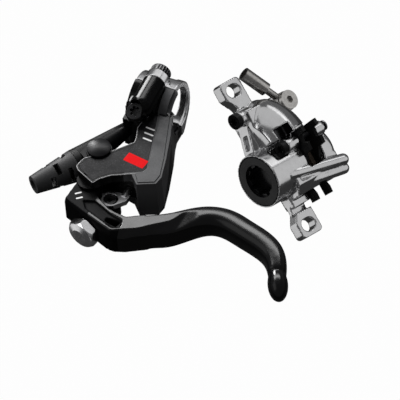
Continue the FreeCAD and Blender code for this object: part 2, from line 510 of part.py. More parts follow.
body.append(cyl(5.4, 10.0, V(banjo_x, banjo_y, banjo_z - 2.9 - 10.0)))
body.append(box(banjo_x - 3, 14.0, banjo_z - 11.5, -4.0, banjo_y + 3.6, banjo_z - 4.0))
body.append(across(4.0, -7.1, 0.0, -23.4, 0.2))
caliper = body[0].fuse(body[1:]).removeSplitter()

cap_t = 8.0
cal_cuts = [across(rotor_r + 1.5, rotor_y - slot_half, rotor_y + slot_half, 0.0, rotor_edge_z - rotor_r)]
cal_cuts.append(box(-6.8, rotor_y - slot_half, 0, 13.6, rotor_y + slot_half, 40))
cal_cuts.append(across(3.9, -6.0, 1.7, pad_pin_x, pad_pin_z))
cal_cuts.append(cyl(5.6, 14.0, V(banjo_x, banjo_y, banjo_z - 2.9)))
cal_cuts.append(across(cyl_bore_r, cap_face_y + cap_t - 1, rotor_y, cyl_x, cyl_z))
cal_cuts.append(across(cyl_bore_r + 1.9, cap_face_y - 1, cap_face_y + cap_t, cyl_x, cyl_z))
cal_cuts.append(across(cyl_bore_r, rotor_y, inner_end_y - 2.4, cyl_x, cyl_z))
cal_cuts.append(across(pad_pin_r + 0.1, 0, 30, pad_pin_x, pad_pin_z))
seal_w, seal_deep = 2.2, 1.3
for y in (rotor_y - slot_half - 3.6, rotor_y + slot_half + 1.6):
    cal_cuts.append(across(cyl_bore_r + seal_deep, y, y + seal_w, cyl_x, cyl_z))
for s in (-1, 1):
    cal_cuts.append(slot_solid(ear_hole_r, ear_slot / 2, -12, 12, V(s * ear_span / 2, 0, 0), 90))
cal_cuts.append(box(-10.8, -0.6, 9.5, -5.0, 7.4, 40))
cal_cuts.append(cyl(2.5, 12.0, V(banjo_x, banjo_y, banjo_z - 12.0)))
cal_cuts.append(across(1.2, -10, 4, -23.4, 0.2))
cal_cuts.append(cyl(0.8, 24, V(banjo_x, banjo_y, banjo_z - 8), V(24, 0, 3)))
cal_cuts.append(capsule(1.3, V(16.2, 3.0, 9.4), V(20.8, 28.0, 12.4)))
cal["caliper_body"] = one(caliper.cut(cal_cuts).removeSplitter())

cap = across(cyl_bore_r + 1.85, cap_face_y + 0.2, cap_face_y + cap_t - 0.05, cyl_x, cyl_z)
cap = cap.makeChamfer(0.5, [e for e in cap.Edges if e.BoundBox.YMax < cap_face_y + 0.21])
cap = cap.cut(across(8.4, cap_face_y - 1, cap_face_y + 6.2, cyl_x, cyl_z))
cogs = across(8.4, cap_face_y + 1.6, cap_face_y + 6.2, cyl_x, cyl_z)
cogs = cogs.cut(star(7.0, 8.6, 9, 6, V(cyl_x, cap_face_y + 1.0, cyl_z), Y))
cal["cylinder_cap"] = one(cap.fuse(cogs).removeSplitter())
cal["cap_seal"] = tube(cyl_bore_r - 0.9, cyl_bore_r, 0.9, V(cyl_x, cap_face_y + cap_t, cyl_z), Y)

plate_pts = [(-4.0, pad_low), (19.5, pad_low), (21.4, -6.0), (21.4, -1.4), (29.2, -1.4), (29.2, 3.0),
             (26.0, 3.4), (21.4, 2.0), (18.4, 4.6), (13.2, 5.8), (11.6, pad_top), (7.0, 12.0),
             (6.4, 16.4), (2.4, 17.0), (1.8, 14.4), (-2.2, 14.8), (-3.0, 18.8), (-6.2, 18.4),
             (-5.4, 8.0), (-5.6, 4.0)]
lining_pts = [(-3.2, pad_low + 0.8), (18.7, pad_low + 0.8), (20.4, -6.0), (17.6, 5.0), (-2.6, 5.0)]
for side_name, s in (("outer", -1), ("inner", 1)):
    face = rotor_y + s * pad_gap
    back = face + s * pad_lining_t
    rest = back + s * pad_plate_t
    lo, hi = sorted((back, rest))
    plate = side_prism(plate_pts, lo, hi)
    plate = plate.cut(across(pad_pin_r + 0.35, 0, 40, pad_pin_x, pad_pin_z))
    cal[side_name + "_pad_plate"] = plate
    lo, hi = sorted((face, back))
    cal[side_name + "_pad_lining"] = side_prism(lining_pts, lo, hi)
    depth = 12.4 if s < 0 else 6.4
    lo, hi = sorted((rest, rest + s * depth))
    plunger = across(cyl_bore_r - fit, lo, hi, cyl_x, cyl_z)
    hollow_lo, hollow_hi = sorted((rest + s * 3.6, rest + s * (depth + 1)))
    plunger = plunger.cut(across(cyl_bore_r - 2.4, hollow_lo, hollow_hi, cyl_x, cyl_z))
    mag_lo, mag_hi = sorted((rest - s * 0.1, rest + s * 2.4))
    plunger = plunger.cut(across(4.5, mag_lo, mag_hi, cyl_x, cyl_z))
    cal[side_name + "_piston"] = one(plunger)
    mag_lo, mag_hi = sorted((rest, rest + s * 2.4))
    cal[side_name + "_magnet"] = across(4.5, mag_lo, mag_hi, cyl_x, cyl_z)
for name, y in (("outer_square_seal", rotor_y - slot_half - 3.6),
                ("inner_square_seal", rotor_y + slot_half + 1.6)):
    cal[name] = tube(cyl_bore_r, cyl_bore_r + seal_deep, seal_w, V(cyl_x, y, cyl_z), Y)

pad_pin = across(pad_pin_r, 1.4, 31.2, pad_pin_x, pad_pin_z)
pad_pin = pad_pin.fuse(across(3.6, -1.4, 1.6, pad_pin_x, pad_pin_z))
pad_pin = pad_pin.cut(star(1.2, 1.9, 6, 2.0, V(pad_pin_x, -1.5, pad_pin_z), Y))
cal["pad_pin"] = pad_pin.cut(tube(1.0, 3.0, 0.7, V(pad_pin_x, 29.6, pad_pin_z), Y))
cal["pin_clip"] = tube(1.0, 2.6, 0.6, V(pad_pin_x, 29.65, pad_pin_z), Y).cut(
    box(pad_pin_x - 0.9, 20, pad_pin_z - 6, pad_pin_x + 0.9, 40, pad_pin_z - 0.4))

eye_h = 2.3
bolt = cyl(2.5, 14.0, V(banjo_x, banjo_y, banjo_z - 11.0))
bolt_head = cyl(4.8, 2.2, V(banjo_x, banjo_y, banjo_z + eye_h + 0.6))
bolt = bolt.fuse(bolt_head).removeSplitter()
cal["banjo_bolt"] = bolt.cut(hexagon(2.0, 1.8, V(banjo_x, banjo_y, banjo_z + eye_h + 1.0)))
hose_dir = V(-22.2, -13.6, 0)
hose_dir.normalize()
eye_centre = V(banjo_x, banjo_y, banjo_z)
fitting = cyl(5.1, 2 * eye_h, eye_centre - Z * eye_h)
fitting = fitting.fuse([cyl(1.8, 12.0, eye_centre, hose_dir),
                        cyl(3.4, 14.0, eye_centre + hose_dir * 11.4, hose_dir)])
fitting = fitting.cut([cyl(2.5 + fit, 20, eye_centre - Z * 10),
                       cyl(hose_r, 10.0, eye_centre + hose_dir * 15.5, hose_dir),
                       cyl(0.9, 20.0, eye_centre, hose_dir)])
cal["banjo_fitting"] = one(fitting.removeSplitter())
cal["banjo_washers"] = Part.makeCompound([tube(2.55, 4.7, 0.6, V(banjo_x, banjo_y, z))
                                          for z in (banjo_z - eye_h - 0.6, banjo_z + eye_h)])
cal["bleed_cap"] = across(3.9, -10.0, -7.15, -23.4, 0.2).fuse(across(1.15, -7.4, 2.0, -23.4, 0.2)).cut(
    star(1.4, 2.2, 6, 2.0, V(-23.4, -10.1, 0.2), Y))

turn = FreeCAD.Rotation(cal_x, cal_y, V(0, 0, 0), "XYZ")
place = FreeCAD.Placement(cal_origin, turn)
for name, shape in cal.items():
    moved = shape.copy()
    moved.Placement = place.multiply(moved.Placement)
    nodes[name] = moved

os.makedirs("parts", exist_ok=True)
for name, shape in nodes.items():
    shape.exportStep("parts/%s.step" % name)
    b = shape.BoundBox
    print(name, shape.isValid(), len(shape.Solids), round(shape.Volume, 1),
          [round(v, 1) for v in (b.XMin, b.YMin, b.ZMin, b.XMax, b.YMax, b.ZMax)])
for label, vec in (("cal x", turn.multVec(X)), ("cal y", turn.multVec(Y)), ("cal z", turn.multVec(Z))):
    print(label, [round(v, 5) for v in vec])
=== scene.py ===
import json
import math

import bmesh
import bpy
from mathutils import Matrix, Vector

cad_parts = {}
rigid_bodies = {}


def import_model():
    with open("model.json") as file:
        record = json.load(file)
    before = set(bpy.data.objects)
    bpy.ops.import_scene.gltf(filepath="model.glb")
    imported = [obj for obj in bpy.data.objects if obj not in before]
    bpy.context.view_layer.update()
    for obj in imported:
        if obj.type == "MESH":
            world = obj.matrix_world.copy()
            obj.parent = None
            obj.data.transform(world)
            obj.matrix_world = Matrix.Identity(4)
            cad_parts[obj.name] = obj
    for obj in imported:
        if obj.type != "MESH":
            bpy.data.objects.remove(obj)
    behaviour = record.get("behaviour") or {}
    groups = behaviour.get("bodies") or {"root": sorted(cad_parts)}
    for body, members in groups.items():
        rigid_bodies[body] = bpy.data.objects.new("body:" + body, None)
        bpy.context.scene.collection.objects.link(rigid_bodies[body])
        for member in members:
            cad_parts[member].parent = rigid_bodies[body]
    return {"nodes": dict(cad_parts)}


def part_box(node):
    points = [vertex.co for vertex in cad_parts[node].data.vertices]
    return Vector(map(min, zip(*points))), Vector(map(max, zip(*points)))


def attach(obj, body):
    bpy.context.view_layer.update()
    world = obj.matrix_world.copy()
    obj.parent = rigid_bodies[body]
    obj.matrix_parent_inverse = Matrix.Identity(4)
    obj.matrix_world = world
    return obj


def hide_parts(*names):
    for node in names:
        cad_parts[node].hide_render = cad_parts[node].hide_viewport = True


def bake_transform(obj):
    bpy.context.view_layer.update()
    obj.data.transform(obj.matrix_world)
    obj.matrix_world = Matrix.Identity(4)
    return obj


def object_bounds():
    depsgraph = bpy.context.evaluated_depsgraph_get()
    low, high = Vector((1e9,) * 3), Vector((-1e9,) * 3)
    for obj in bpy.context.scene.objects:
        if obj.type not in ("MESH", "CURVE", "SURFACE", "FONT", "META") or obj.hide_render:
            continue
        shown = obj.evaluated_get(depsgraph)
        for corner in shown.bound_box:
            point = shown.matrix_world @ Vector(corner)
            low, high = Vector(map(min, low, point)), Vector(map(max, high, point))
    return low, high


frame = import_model()
nodes = frame["nodes"]
cad_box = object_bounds()
scene = bpy.context.scene
scene.view_settings.view_transform = "Standard"

# Camera: a long lens looks down on the set from the front right, so that the handlebar clamp
# stands up in the picture and the caliper shows the face of its outer cylinder.
view_right = Vector((0.9119, 0.4051, -0.0660))
view_up = Vector((-0.2660, 0.7057, 0.6567))
view_back = view_right.cross(view_up)
look_at = Vector((0.0309, -0.0243, -0.0317))
distance = 8.0
picture_width = 0.1923
lens_data = bpy.data.cameras.new("long_lens")
lens_data.lens = distance * lens_data.sensor_width / picture_width
lens = bpy.data.objects.new("long_lens", lens_data)
scene.collection.objects.link(lens)
turn = Matrix((view_right, view_up, view_back)).transposed().to_4x4()
lens.matrix_world = Matrix.Translation(look_at + view_back * distance) @ turn
scene.camera = lens


# Studio: a table far below and a backdrop that the lens sees as plain white, a dim even sky, and
# soft lamps. The lamp behind the set draws the long highlights along the blade and the boot.
def calc(tree, operation, *terms):
    """The output of a Math node. Each term is a number or another node's output."""
    node = tree.nodes.new("ShaderNodeMath")
    node.operation = operation
    for socket, term in zip(node.inputs, terms):
        if isinstance(term, float):
            socket.default_value = term
        else:
            tree.links.new(term, socket)
    return node.outputs[0]


backdrop_white = 0.985
table_grey = 0.1
table_in_gloss = 0.03
table_reach = 6.0
table_z = cad_box[0][2] - 0.6
table_mesh = bpy.data.meshes.new("table_top")
table_mesh.from_pydata([(x * table_reach, y * table_reach, table_z)
                        for x, y in ((-1, -1), (1, -1), (1, 1), (-1, 1))], [], [(0, 1, 2, 3)])
table = bpy.data.objects.new("table_top", table_mesh)
scene.collection.objects.link(table)
table_white = bpy.data.materials.new("table_white")
table_white.use_nodes = True
tree = table_white.node_tree
tree.nodes.clear()
out = tree.nodes.new("ShaderNodeOutputMaterial")
blend = tree.nodes.new("ShaderNodeMixShader")
plain = tree.nodes.new("ShaderNodeBsdfDiffuse")
plain.inputs["Color"].default_value = (table_grey, table_grey, table_grey, 1)
glow = tree.nodes.new("ShaderNodeEmission")
glow.inputs["Strength"].default_value = 1.0
rays = tree.nodes.new("ShaderNodeLightPath")
faint = calc(tree, "MULTIPLY", rays.outputs["Is Glossy Ray"], table_in_gloss)
seen = calc(tree, "MAXIMUM", rays.outputs["Is Camera Ray"], faint)
seen = calc(tree, "MAXIMUM", seen, rays.outputs["Is Transmission Ray"])
tree.links.new(calc(tree, "MULTIPLY", seen, backdrop_white), blend.inputs[0])
tree.links.new(plain.outputs[0], blend.inputs[1])
tree.links.new(glow.outputs[0], blend.inputs[2])
tree.links.new(blend.outputs[0], out.inputs["Surface"])
table_mesh.materials.append(table_white)

sky = bpy.data.worlds.new("dim_sky")
scene.world = sky
sky.use_nodes = True
tree = sky.node_tree
tree.nodes.clear()
out = tree.nodes.new("ShaderNodeOutputWorld")
dim = tree.nodes.new("ShaderNodeBackground")
dim.inputs["Color"].default_value = (0.14, 0.14, 0.142, 1)
backdrop = tree.nodes.new("ShaderNodeBackground")
backdrop.inputs["Color"].default_value = (backdrop_white, backdrop_white, backdrop_white, 1)
rays = tree.nodes.new("ShaderNodeLightPath")
shown = tree.nodes.new("ShaderNodeMixShader")
tree.links.new(rays.outputs["Is Camera Ray"], shown.inputs[0])
tree.links.new(dim.outputs[0], shown.inputs[1])
tree.links.new(backdrop.outputs[0], shown.inputs[2])
tree.links.new(shown.outputs[0], out.inputs["Surface"])

# Lamps: the dark pieces and the polished ones are lit apart, each group by lamps of its own. So the
# black stays deep while the plating shows broad bright panels. Each lamp has its direction from the
# set, then its distance, width and height in metres, and its power in watts.
dark_pieces = bpy.data.collections.new("dark_pieces")
polished_pieces = bpy.data.collections.new("polished_pieces")
for name, lit, towards, far, wide, tall, watts in (
        ("back_lamp", dark_pieces, (-0.31, 0.52, 0.80), 1.2, 1.5, 0.28, 10.5),
        ("left_lamp", dark_pieces, (-0.66, 0.58, 0.44), 1.3, 0.26, 0.6, 13.0),
        ("front_lamp", dark_pieces, (-0.60, -0.40, 0.66), 1.3, 0.9, 0.9, 1.3),
        ("top_panel", polished_pieces, (-0.08, 0.30, 0.93), 1.2, 2.0, 1.4, 4.6),
        ("right_panel", polished_pieces, (0.84, 0.43, 0.17), 1.3, 1.3, 1.2, 2.8),
        ("left_panel", polished_pieces, (-0.85, -0.38, -0.30), 1.1, 1.1, 1.0, 2.5),
        ("front_panel", polished_pieces, (-0.52, -0.63, 0.57), 1.2, 0.9, 0.6, 3.4),
        ("low_panel", polished_pieces, (0.10, -0.85, -0.50), 1.2, 0.5, 0.5, 0.5),
        ("back_panel", polished_pieces, (0.08, 0.80, 0.58), 1.2, 1.0, 0.3, 0.95)):
    lamp_data = bpy.data.lights.new(name, "AREA")
    lamp_data.shape = "RECTANGLE"
    lamp_data.size, lamp_data.size_y = wide, tall
    lamp_data.energy = watts
    lamp = bpy.data.objects.new(name, lamp_data)
    aim = Vector(towards).normalized()
    lamp.location = look_at + aim * far
    lamp.rotation_euler = aim.to_track_quat("Z", "Y").to_euler()
    lamp.visible_camera = False
    lamp.light_linking.receiver_collection = lit
    scene.collection.objects.link(lamp)


# Master housing: one moulding of short carbon fibres in a black thermoplastic, matt and faintly
# mottled, with the saddle, the screw bosses, the cylinder arm and the hose arm in one piece. Its
# skin is polished by the die towards the clamp. The saddle's outer cheek is grey, made lighter
# with painted sheen for the light that this face catches.
def surface(name, colour, metal=0.0, rough=0.5, grain=None, mottle=0.15, rough_swing=0.08,
            scale=900.0, bevel=0.00025, second=None, speckle=0.0, shine=0.25):
    """A procedural finish: mottled colour, uneven gloss, a fine grain and softened edges."""
    mat = bpy.data.materials.new(name)
    mat.use_nodes = True
    t = mat.node_tree
    shader = t.nodes["Principled BSDF"]
    shader.inputs["Metallic"].default_value = metal
    shader.inputs["Specular IOR Level"].default_value = 0.5 if metal > 0.9 else shine
    coords = t.nodes.new("ShaderNodeTexCoord")
    noise = t.nodes.new("ShaderNodeTexNoise")
    noise.inputs["Scale"].default_value = scale
    noise.inputs["Detail"].default_value = 3.0
    t.links.new(coords.outputs["Object"], noise.inputs["Vector"])
    tint = t.nodes.new("ShaderNodeValToRGB")
    low = [c * (1 - mottle) for c in colour]
    high = list(second) if second else [min(1.0, c * (1 + mottle)) for c in colour]
    tint.color_ramp.elements[0].position = 0.35 + speckle * 0.25
    tint.color_ramp.elements[0].color = (*low, 1)
    tint.color_ramp.elements[1].position = 0.65 + speckle * 0.1
    tint.color_ramp.elements[1].color = (*high, 1)
    t.links.new(noise.outputs["Fac"], tint.inputs["Fac"])
    t.links.new(tint.outputs["Color"], shader.inputs["Base Color"])
    cloud = t.nodes.new("ShaderNodeTexNoise")
    cloud.inputs["Scale"].default_value = 130.0
    cloud.inputs["Detail"].default_value = 4.0
    t.links.new(coords.outputs["Object"], cloud.inputs["Vector"])
    gloss = t.nodes.new("ShaderNodeMapRange")
    gloss.inputs["From Min"].default_value = 0.3
    gloss.inputs["From Max"].default_value = 0.7
    gloss.inputs["To Min"].default_value = max(0.02, rough - rough_swing)
    gloss.inputs["To Max"].default_value = rough + rough_swing
    t.links.new(cloud.outputs["Fac"], gloss.inputs["Value"])
    t.links.new(gloss.outputs["Result"], shader.inputs["Roughness"])
    normal = None
    if bevel:
        edge = t.nodes.new("ShaderNodeBevel")
        edge.samples = 6
        edge.inputs["Radius"].default_value = bevel
        normal = edge.outputs["Normal"]
    if grain:
        bump = t.nodes.new("ShaderNodeBump")
        bump.inputs["Strength"].default_value = grain
        bump.inputs["Distance"].default_value = 0.0001
        t.links.new(noise.outputs["Fac"], bump.inputs["Height"])
        if normal:
            t.links.new(normal, bump.inputs["Normal"])
        normal = bump.outputs["Normal"]
    if normal:
        t.links.new(normal, shader.inputs["Normal"])
    return mat


def place_on(material):
    """The output that tells where a point of the piece lies, in metres."""
    return next(n for n in material.node_tree.nodes if n.type == "TEX_COORD").outputs["Object"]


def overlay(material, socket_name, mask, value):
    """Puts a value over what feeds a socket of the finish, where the mask is one."""
    t = material.node_tree
    socket = t.nodes["Principled BSDF"].inputs[socket_name]
    mix = t.nodes.new("ShaderNodeMix")
    below, above, mixed = 2, 3, 0
    if socket.type == "RGBA":
        mix.data_type = "RGBA"
        below, above, mixed = 6, 7, 2
    if socket.is_linked:
        t.links.new(socket.links[0].from_socket, mix.inputs[below])
    else:
        mix.inputs[below].default_value = socket.default_value
    mix.inputs[above].default_value = value
    t.links.new(mask, mix.inputs[0])
    t.links.new(mix.outputs[mixed], socket)


def dress(material, *names):
    """Gives a finish to solids that show as they are."""
    for name in names:
        for spot in nodes[name].material_slots:
            spot.link = "OBJECT"
            spot.material = material


composite = surface("moulded_composite", (0.0025, 0.0025, 0.0028), rough=0.42, grain=0.06,
                    scale=1400.0, second=(0.0075, 0.0075, 0.008), speckle=0.4, shine=0.16)
polish_from_y, polish_full_y, polish_rough = -0.0255, -0.0215, 0.15
cheek_from_x, cheek_level, cheek_slant = 0.0060, 0.0140, -0.552
cheek_grey_and_sheen, cheek_rough = (0.1, 0.101, 0.104, 1), 0.42
t = composite.node_tree
spot = t.nodes.new("ShaderNodeSeparateXYZ")
t.links.new(place_on(composite), spot.inputs[0])
x, y, z = spot.outputs
near = t.nodes.new("ShaderNodeMapRange")
near.inputs["From Min"].default_value = polish_from_y
near.inputs["From Max"].default_value = polish_full_y
t.links.new(y, near.inputs["Value"])
overlay(composite, "Roughness", near.outputs["Result"], polish_rough)
# The lighter grey on the cheek is partly painted sheen: its tone stands in for the light that this
# face catches.
cheek = calc(t, "MULTIPLY", calc(t, "GREATER_THAN", x, cheek_from_x),
             calc(t, "GREATER_THAN", calc(t, "MULTIPLY_ADD", y, cheek_slant, z), cheek_level))
overlay(composite, "Base Color", cheek, cheek_grey_and_sheen)
overlay(composite, "Roughness", cheek, cheek_rough)
dress(composite, "master_housing")


# Master cylinder: a hard anodised piston with two lip seals, its spring and snap ring, and the
# wiper at the cylinder's mouth. All of it is turned or moulded, and pushed in from the mouth. The
# spring is a coil of drawn wire that shortens as the piston comes towards it; here the coil keeps
# the length of the solid.
def copied(node, name):
    """A piece of its own with a merged copy of a solid's mesh."""
    mesh = nodes[node].data.copy()
    bm = bmesh.new()
    bm.from_mesh(mesh)
    bmesh.ops.remove_doubles(bm, verts=bm.verts, dist=1e-6)
    bm.to_mesh(mesh)
    bm.free()
    piece = bpy.data.objects.new(name, mesh)
    scene.collection.objects.link(piece)
    return piece


anodised = surface("hard_anodised", (0.5, 0.5, 0.5), metal=1.0, rough=0.35)
dress(anodised, "master_piston", "outer_piston", "inner_piston")
seal_black = surface("seal_black", (0.012, 0.012, 0.012), rough=0.6, grain=0.1)
dress(seal_black, "diaphragm", "secondary_seal", "primary_seal", "dust_wiper", "cap_seal",
      "outer_square_seal", "inner_square_seal")
steel = surface("ground_steel", (0.55, 0.55, 0.56), metal=1.0, rough=0.28, mottle=0.06)
dress(steel, "pivot_pin", "adjuster_spindle", "push_rod", "circlip", "outer_magnet", "inner_magnet",
      "pin_clip")
coil = copied("return_spring", "spring_coil")
coil.data.materials.clear()
coil.data.materials.append(steel)
low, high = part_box("return_spring")
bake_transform(coil)
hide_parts("return_spring")


# Reservoir cover: a thin composite plate with a fine pale fleck in its black, let into the housing.
# A pale bead runs round the housing's border: a painted highlight, for the light along the rim's
# chamfer. Plain printed bars stand on the plate.
def group_of(name, output, inputs):
    """An empty Geometry Nodes group with named inputs, and its two end nodes."""
    group = bpy.data.node_groups.new(name, "GeometryNodeTree")
    for label, kind in inputs:
        group.interface.new_socket(label, in_out="INPUT", socket_type="NodeSocket" + kind)
    group.interface.new_socket(output, in_out="OUTPUT", socket_type="NodeSocketGeometry")
    return group, group.nodes.new("NodeGroupInput"), group.nodes.new("NodeGroupOutput")


def grown(piece, group, values):
    """Runs a Geometry Nodes group on a piece with the values of its named inputs."""
    made = piece.modifiers.new("made", "NODES")
    made.node_group = group
    for item in group.interface.items_tree:
        if item.in_out == "INPUT" and item.name in values:
            made[item.identifier] = values[item.name]
    settle(piece)


def settle(piece):
    """Keeps the mesh that a piece's modifiers make, and takes them off."""
    graph = bpy.context.evaluated_depsgraph_get()
    done = bpy.data.meshes.new_from_object(piece.evaluated_get(graph))
    piece.modifiers.clear()
    piece.data = done


flecked = surface("flecked_composite", (0.005, 0.005, 0.006), rough=0.5, grain=0.4, scale=2200.0,
                  second=(0.05, 0.05, 0.054), speckle=0.7, shine=0.15)
dress(flecked, "reservoir_cover")
cover_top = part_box("reservoir_cover")[1][2]
bead_group, given, result = group_of("swept_bead", "Bead", (
    ("Path", "Geometry"), ("Corner radius", "Float"), ("Bead radius", "Float"),
    ("Finish", "Material")))
link = bead_group.links.new
as_curve = bead_group.nodes.new("GeometryNodeMeshToCurve")
rounded = bead_group.nodes.new("GeometryNodeFilletCurve")
sweep = bead_group.nodes.new("GeometryNodeCurveToMesh")
ring = bead_group.nodes.new("GeometryNodeCurvePrimitiveCircle")
ring.inputs["Resolution"].default_value = 10
real = bead_group.nodes.new("GeometryNodeRealizeInstances")
paint = bead_group.nodes.new("GeometryNodeSetMaterial")
link(given.outputs["Path"], as_curve.inputs[0])
link(as_curve.outputs[0], rounded.inputs["Curve"])
link(given.outputs["Corner radius"], rounded.inputs["Radius"])
link(given.outputs["Bead radius"], ring.inputs["Radius"])
link(rounded.outputs[0], sweep.inputs["Curve"])
link(ring.outputs["Curve"], sweep.inputs["Profile Curve"])
link(sweep.outputs[0], real.inputs[0])
link(real.outputs[0], paint.inputs["Geometry"])
link(given.outputs["Finish"], paint.inputs["Material"])
link(paint.outputs[0], result.inputs[0])

bead_path = [(3.2, -13.2), (1.0, -17.9), (0.4, -23.1), (2.4, -29.1), (2.8, -32.2), (-4.8, -40.8),
             (-7.3, -42.8), (-15.8, -50.0), (-17.2, -55.5), (-15.5, -57.7), (-5.6, -62.8),
             (-3.9, -59.5), (0.7, -55.3), (11.3, -50.2), (14.7, -48.1)]
bead_sunk = 0.0001
bead_mesh = bpy.data.meshes.new("cover_bead")
bead_mesh.from_pydata([(x / 1000, y / 1000, cover_top - bead_sunk) for x, y in bead_path],
                      [(i, i + 1) for i in range(len(bead_path) - 1)], [])
bead = bpy.data.objects.new("cover_bead", bead_mesh)
scene.collection.objects.link(bead)
# The bead's pale grey is a painted highlight: it stands in for the light along the rim's chamfer.
painted_edge_highlight = surface("painted_edge_highlight", (0.42, 0.42, 0.425), rough=0.32, bevel=0.0, shine=0.5)
grown(bead, bead_group, {"Corner radius": 0.0005, "Bead radius": 0.00023, "Finish": painted_edge_highlight})
bm = bmesh.new()
bm.from_mesh(bead.data)
bmesh.ops.holes_fill(bm, edges=[e for e in bm.edges if e.is_boundary])
bmesh.ops.recalc_face_normals(bm, faces=bm.faces)
bm.to_mesh(bead.data)
bm.free()
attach(bead, "fixed")


def printed_bar(name, ink, cx, cy, half_long, half_wide, slant, top, body):
    """A flat bar of ink with round corners on a level face. The sizes in its plane are in mm."""
    corner_r = 0.4
    ink_sunk, ink_depth = 0.00002, 0.00006
    outline = []
    for sx, sy, first in ((1, 1, 0), (-1, 1, 90), (-1, -1, 180), (1, -1, 270)):
        for k in range(4):
            a = math.radians(first + 30 * k)
            outline.append(Vector((sx * (half_long - corner_r) + corner_r * math.cos(a),
                                   sy * (half_wide - corner_r) + corner_r * math.sin(a), 0)))
    spun = Matrix.Rotation(math.radians(slant), 3, "Z")
    low_z = top - ink_sunk
    points = [((spun @ p).x / 1000 + cx / 1000, (spun @ p).y / 1000 + cy / 1000, level)
              for level in (low_z, low_z + ink_depth) for p in outline]
    n = len(outline)
    under, over = tuple(reversed(range(n))), tuple(range(n, 2 * n))
    sides = [(i, (i + 1) % n, n + (i + 1) % n, n + i) for i in range(n)]
    mesh = bpy.data.meshes.new(name)
    mesh.from_pydata(points, [], [under, over, *sides])
    mesh.materials.append(ink)
    piece = bpy.data.objects.new(name, mesh)
    scene.collection.objects.link(piece)
    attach(piece, body)


print_red = surface("print_red", (0.82, 0.006, 0.009), rough=0.6, mottle=0.04, bevel=0.0,
                    shine=0.05)
print_white = surface("print_white", (0.92, 0.92, 0.92), rough=0.45, mottle=0.03, bevel=0.0)
printed_bar("bar_red", print_red, 8.1, -42.6, 5.6, 2.7, -10.0, cover_top, "fixed")
for name, cx, cy in (("bar_white_one", 6.4, -21.6), ("bar_white_two", 7.1, -25.0),
                     ("bar_white_three", 7.8, -28.4)):
    printed_bar(name, print_white, cx, cy, 2.5, 0.45, -6.0, cover_top, "fixed")

# Corner guard: a grey satin strip of painted plastic, clipped over the housing's outer corner.
# It takes the knocks when the bicycle falls.
guard_grey = surface("guard_grey", (0.06, 0.061, 0.064), rough=0.42, grain=0.1, scale=1600.0)
dress(guard_grey, "corner_guard")


# Clamp hoop: forged aluminium, trimmed and polished bright. It is a ring half with a window, held
# by two screws. Its edges are run together a little, as polishing leaves them.
def softened(node, name, voxel, steps, material, body, weigh=None, more_steps=0):
    """A copy of a solid with its edges run together, as a forging or a polished part has them.

    Where weigh is given, it tells how much of more_steps each point gets on top.
    """
    piece = copied(node, name)
    grid = piece.modifiers.new("grid", "REMESH")
    grid.mode = "VOXEL"
    grid.voxel_size = voxel
    ease = piece.modifiers.new("ease", "SMOOTH")
    ease.factor = 0.5
    ease.iterations = steps
    settle(piece)
    if weigh:
        weighed = piece.vertex_groups.new(name="weighed")
        for v in piece.data.vertices:
            w = weigh(v)
            if w > 0:
                weighed.add([v.index], w, "REPLACE")
        ease = piece.modifiers.new("ease", "SMOOTH")
        ease.factor = 0.5
        ease.iterations = more_steps
        ease.vertex_group = weighed.name
        settle(piece)
    piece.data.materials.clear()
    piece.data.materials.append(material)
    for face in piece.data.polygons:
        face.use_smooth = True
        face.material_index = 0
    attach(piece, body)
    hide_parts(node)


bright_alloy = surface("bright_alloy", (0.86, 0.86, 0.87), metal=1.0, rough=0.24, mottle=0.05,
                       rough_swing=0.04, scale=500.0, bevel=0.0)
softened("clamp_hoop", "hoop_forging", 0.00026, 4, bright_alloy, "fixed")

# Screws: black steel heads with lobed sockets hold the clamp, close the bleed port and fix the pad
# pin. A ring of ribs is rolled round each clamp screw's head for the fingers.
black_steel = surface("black_steel", (0.02, 0.02, 0.021), metal=0.4, rough=0.3, mottle=0.2)
dress(black_steel, "clamp_screws", "bleed_screw", "guide_screw", "trunnion", "pad_pin", "bleed_cap")
rib_group, given, result = group_of("ring_of_ribs", "Ribs", (
    ("Count", "Int"), ("Ring radius", "Float"), ("Rib radius", "Float"), ("Height", "Float"),
    ("Finish", "Material")))
link = rib_group.links.new
ring = rib_group.nodes.new("GeometryNodeMeshCircle")
rib = rib_group.nodes.new("GeometryNodeMeshCylinder")
rib.inputs["Vertices"].default_value = 12
spread = rib_group.nodes.new("GeometryNodeInstanceOnPoints")
real = rib_group.nodes.new("GeometryNodeRealizeInstances")
paint = rib_group.nodes.new("GeometryNodeSetMaterial")
link(given.outputs["Count"], ring.inputs["Vertices"])
link(given.outputs["Ring radius"], ring.inputs["Radius"])
link(given.outputs["Rib radius"], rib.inputs["Radius"])
link(given.outputs["Height"], rib.inputs["Depth"])
link(ring.outputs[0], spread.inputs["Points"])
link(rib.outputs["Mesh"], spread.inputs["Instance"])
link(spread.outputs[0], real.inputs[0])
link(real.outputs[0], paint.inputs["Geometry"])
link(given.outputs["Finish"], paint.inputs["Material"])
link(paint.outputs[0], result.inputs[0])

rib_black = surface("rib_black", (0.02, 0.02, 0.021), metal=0.4, rough=0.3, mottle=0.2, bevel=0.0)
rib_sunk = 0.00012
rib_back = 0.0021
low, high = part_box("clamp_screws")
head_r = (high[0] - low[0]) / 2
for name, side in (("upper_head_ribs", 1), ("lower_head_ribs", -1)):
    ribs = bpy.data.objects.new(name, bpy.data.meshes.new(name))
    scene.collection.objects.link(ribs)
    grown(ribs, rib_group, {"Count": 22, "Ring radius": head_r - rib_sunk, "Rib radius": 0.00042,
                            "Height": 0.0028, "Finish": rib_black})
    seat = Vector((0.0, high[1] - rib_back, side * ((high[2] - low[2]) / 2 - head_r)))
    ribs.data.transform(Matrix.Translation(seat) @ Matrix.Rotation(math.radians(90), 4, "X"))
    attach(ribs, "fixed")

# Port plug: a domed cap in grey-black satin plastic, pressed into the housing over a filling port.
# The photograph shows its face faintly uneven.
plug_grey = surface("plug_grey", (0.005, 0.005, 0.006), rough=0.36, grain=0.05, scale=1200.0)
dress(plug_grey, "port_plug")

